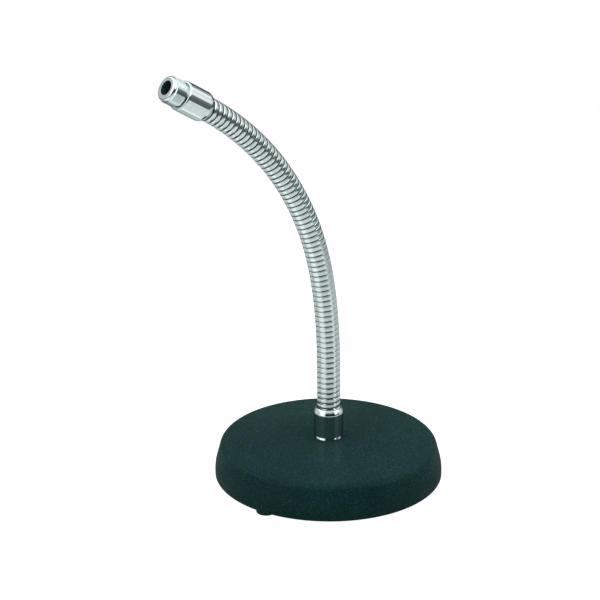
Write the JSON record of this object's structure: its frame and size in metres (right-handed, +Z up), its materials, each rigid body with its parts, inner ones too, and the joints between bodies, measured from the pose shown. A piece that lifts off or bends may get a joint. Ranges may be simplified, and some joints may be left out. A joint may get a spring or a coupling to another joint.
{
  "type": "gooseneck table microphone stand",
  "caption": "Round weighted table base with a bendable wound gooseneck that ends in a threaded spigot for a microphone clip.",
  "frame": {"origin": "on the table, under the base's axis", "axes": "+Z up; at rest the neck leans toward -X in the XZ plane"},
  "size_m": [0.1837, 0.14, 0.2718],
  "materials": {
    "base_paint": "fine-textured dark paint on cast iron",
    "foot_rubber": "matt black rubber",
    "fastener_steel": "zinc-plated steel",
    "chrome": "bright chrome plate",
    "spring_steel": "oiled spring steel"
  },
  "bodies": {
    "base": {"base_casting": "base_paint", "foot_1": "foot_rubber", "foot_2": "foot_rubber", "foot_3": "foot_rubber", "foot_screws": "fastener_steel", "clamp_bolt": "fastener_steel", "flat_washer": "fastener_steel", "lock_washer": "fastener_steel", "lower_ferrule": "chrome", "neck_winding_01": "chrome", "neck_core_01": "spring_steel"},
    "link_02": {"neck_winding_02": "chrome", "neck_core_02": "spring_steel"},
    "link_03": {"neck_winding_03": "chrome", "neck_core_03": "spring_steel"},
    "link_04": {"neck_winding_04": "chrome", "neck_core_04": "spring_steel"},
    "link_05": {"neck_winding_05": "chrome", "neck_core_05": "spring_steel"},
    "link_06": {"neck_winding_06": "chrome", "neck_core_06": "spring_steel"},
    "link_07": {"neck_winding_07": "chrome", "neck_core_07": "spring_steel"},
    "link_08": {"neck_winding_08": "chrome", "neck_core_08": "spring_steel"},
    "link_09": {"neck_winding_09": "chrome", "neck_core_09": "spring_steel"},
    "link_10": {"neck_winding_10": "chrome", "neck_core_10": "spring_steel"},
    "link_11": {"neck_winding_11": "chrome", "neck_core_11": "spring_steel"},
    "link_12": {"neck_winding_12": "chrome", "neck_core_12": "spring_steel"},
    "link_13": {"neck_winding_13": "chrome", "neck_core_13": "spring_steel"},
    "link_14": {"neck_winding_14": "chrome", "neck_core_14": "spring_steel"},
    "link_15": {"neck_winding_15": "chrome", "neck_core_15": "spring_steel"},
    "link_16": {"neck_winding_16": "chrome", "neck_core_16": "spring_steel"},
    "link_17": {"neck_winding_17": "chrome", "neck_core_17": "spring_steel"},
    "link_18": {"neck_winding_18": "chrome", "neck_core_18": "spring_steel"},
    "link_19": {"neck_winding_19": "chrome", "neck_core_19": "spring_steel"},
    "link_20": {"neck_winding_20": "chrome", "neck_core_20": "spring_steel"},
    "link_21": {"neck_winding_21": "chrome", "neck_core_21": "spring_steel"},
    "tip": {"neck_winding_22": "chrome", "neck_core_22": "spring_steel", "upper_ferrule": "chrome", "thread_spigot": "chrome"}
  },
  "joints": [
    {"name": "lower_bend_1", "type": "hinge", "parent": "base", "child": "link_02", "pos_m": [0, 0, 0.0521], "axis": [0.0044, -1, 0], "range_deg": [-6.2, 5.2]},
    {"name": "lower_sway_1", "type": "hinge", "parent": "link_02", "child": "link_03", "pos_m": [-0.00003, 0, 0.06325], "axis": [1, 0, 0.0063], "range_deg": [-6.2, 6.2]},
    {"name": "lower_bend_2", "type": "hinge", "parent": "link_03", "child": "link_04", "pos_m": [-0.00016, 0, 0.0744], "axis": [0.0044, -1, 0.0001], "range_deg": [-6.2, 5.2]},
    {"name": "lower_sway_2", "type": "hinge", "parent": "link_04", "child": "link_05", "pos_m": [-0.00047, 0, 0.08554], "axis": [0.9993, 0, 0.0372], "range_deg": [-6.2, 6.2]},
    {"name": "lower_bend_3", "type": "hinge", "parent": "link_05", "child": "link_06", "pos_m": [-0.00102, 0, 0.09667], "axis": [0.0044, -1, 0.0003], "range_deg": [-6.2, 5.2]},
    {"name": "lower_sway_3", "type": "hinge", "parent": "link_06", "child": "link_07", "pos_m": [-0.00188, 0, 0.10778], "axis": [0.9956, 0, 0.0937], "range_deg": [-6.2, 6.2]},
    {"name": "lower_bend_4", "type": "hinge", "parent": "link_07", "child": "link_08", "pos_m": [-0.00313, 0, 0.11885], "axis": [0.0043, -1, 0.0006], "range_deg": [-6.2, 5.2]},
    {"name": "lower_sway_4", "type": "hinge", "parent": "link_08", "child": "link_09", "pos_m": [-0.00483, 0, 0.12987], "axis": [0.9845, 0, 0.1753], "range_deg": [-6.2, 6.2]},
    {"name": "lower_bend_5", "type": "hinge", "parent": "link_09", "child": "link_10", "pos_m": [-0.00706, 0, 0.14079], "axis": [0.0043, -1, 0.001], "range_deg": [-6.2, 5.2]},
    {"name": "lower_sway_5", "type": "hinge", "parent": "link_10", "child": "link_11", "pos_m": [-0.00987, 0, 0.15157], "axis": [0.9598, 0, 0.2806], "range_deg": [-6.2, 6.2]},
    {"name": "upper_bend_1", "type": "hinge", "parent": "link_11", "child": "link_12", "pos_m": [-0.01333, 0, 0.16216], "axis": [0.0041, -1, 0.0015], "range_deg": [-7.2, 5]},
    {"name": "upper_sway_1", "type": "hinge", "parent": "link_12", "child": "link_13", "pos_m": [-0.01747, 0, 0.17251], "axis": [0.9163, 0, 0.4005], "range_deg": [-6.2, 6.2]},
    {"name": "upper_bend_2", "type": "hinge", "parent": "link_13", "child": "link_14", "pos_m": [-0.02226, 0, 0.18257], "axis": [0.0039, -1, 0.002], "range_deg": [-7.2, 5]},
    {"name": "upper_sway_2", "type": "hinge", "parent": "link_14", "child": "link_15", "pos_m": [-0.02768, 0, 0.19231], "axis": [0.8572, 0, 0.5149], "range_deg": [-6.2, 6.2]},
    {"name": "upper_bend_3", "type": "hinge", "parent": "link_15", "child": "link_16", "pos_m": [-0.03372, 0, 0.20167], "axis": [0.0036, -1, 0.0025], "range_deg": [-7.2, 5]},
    {"name": "upper_sway_3", "type": "hinge", "parent": "link_16", "child": "link_17", "pos_m": [-0.04036, 0, 0.21062], "axis": [0.784, 0, 0.6208], "range_deg": [-6.2, 6.2]},
    {"name": "upper_bend_4", "type": "hinge", "parent": "link_17", "child": "link_18", "pos_m": [-0.04755, 0, 0.21913], "axis": [0.0032, -1, 0.0029], "range_deg": [-7.2, 5]},
    {"name": "upper_sway_4", "type": "hinge", "parent": "link_18", "child": "link_19", "pos_m": [-0.05528, 0, 0.22716], "axis": [0.6977, 0, 0.7164], "range_deg": [-6.2, 6.2]},
    {"name": "upper_bend_5", "type": "hinge", "parent": "link_19", "child": "link_20", "pos_m": [-0.06351, 0, 0.23467], "axis": [0.0028, -1, 0.0033], "range_deg": [-7.2, 5]},
    {"name": "upper_sway_5", "type": "hinge", "parent": "link_20", "child": "link_21", "pos_m": [-0.07221, 0, 0.24164], "axis": [0.5999, 0, 0.8001], "range_deg": [-6.2, 6.2]},
    {"name": "upper_bend_6", "type": "hinge", "parent": "link_21", "child": "tip", "pos_m": [-0.08133, 0, 0.24804], "axis": [0.0024, -1, 0.0037], "range_deg": [-7.2, 5]}
  ],
  "couplings": [
    {"joint": "lower_bend_2", "follows": "lower_bend_1", "ratio": 1},
    {"joint": "lower_sway_2", "follows": "lower_sway_1", "ratio": 1},
    {"joint": "lower_bend_3", "follows": "lower_bend_1", "ratio": 1},
    {"joint": "lower_sway_3", "follows": "lower_sway_1", "ratio": 1},
    {"joint": "lower_bend_4", "follows": "lower_bend_1", "ratio": 1},
    {"joint": "lower_sway_4", "follows": "lower_sway_1", "ratio": 1},
    {"joint": "lower_bend_5", "follows": "lower_bend_1", "ratio": 1},
    {"joint": "lower_sway_5", "follows": "lower_sway_1", "ratio": 1},
    {"joint": "upper_bend_2", "follows": "upper_bend_1", "ratio": 1},
    {"joint": "upper_sway_2", "follows": "upper_sway_1", "ratio": 1},
    {"joint": "upper_bend_3", "follows": "upper_bend_1", "ratio": 1},
    {"joint": "upper_sway_3", "follows": "upper_sway_1", "ratio": 1},
    {"joint": "upper_bend_4", "follows": "upper_bend_1", "ratio": 1},
    {"joint": "upper_sway_4", "follows": "upper_sway_1", "ratio": 1},
    {"joint": "upper_bend_5", "follows": "upper_bend_1", "ratio": 1},
    {"joint": "upper_sway_5", "follows": "upper_sway_1", "ratio": 1},
    {"joint": "upper_bend_6", "follows": "upper_bend_1", "ratio": 1}
  ]
}
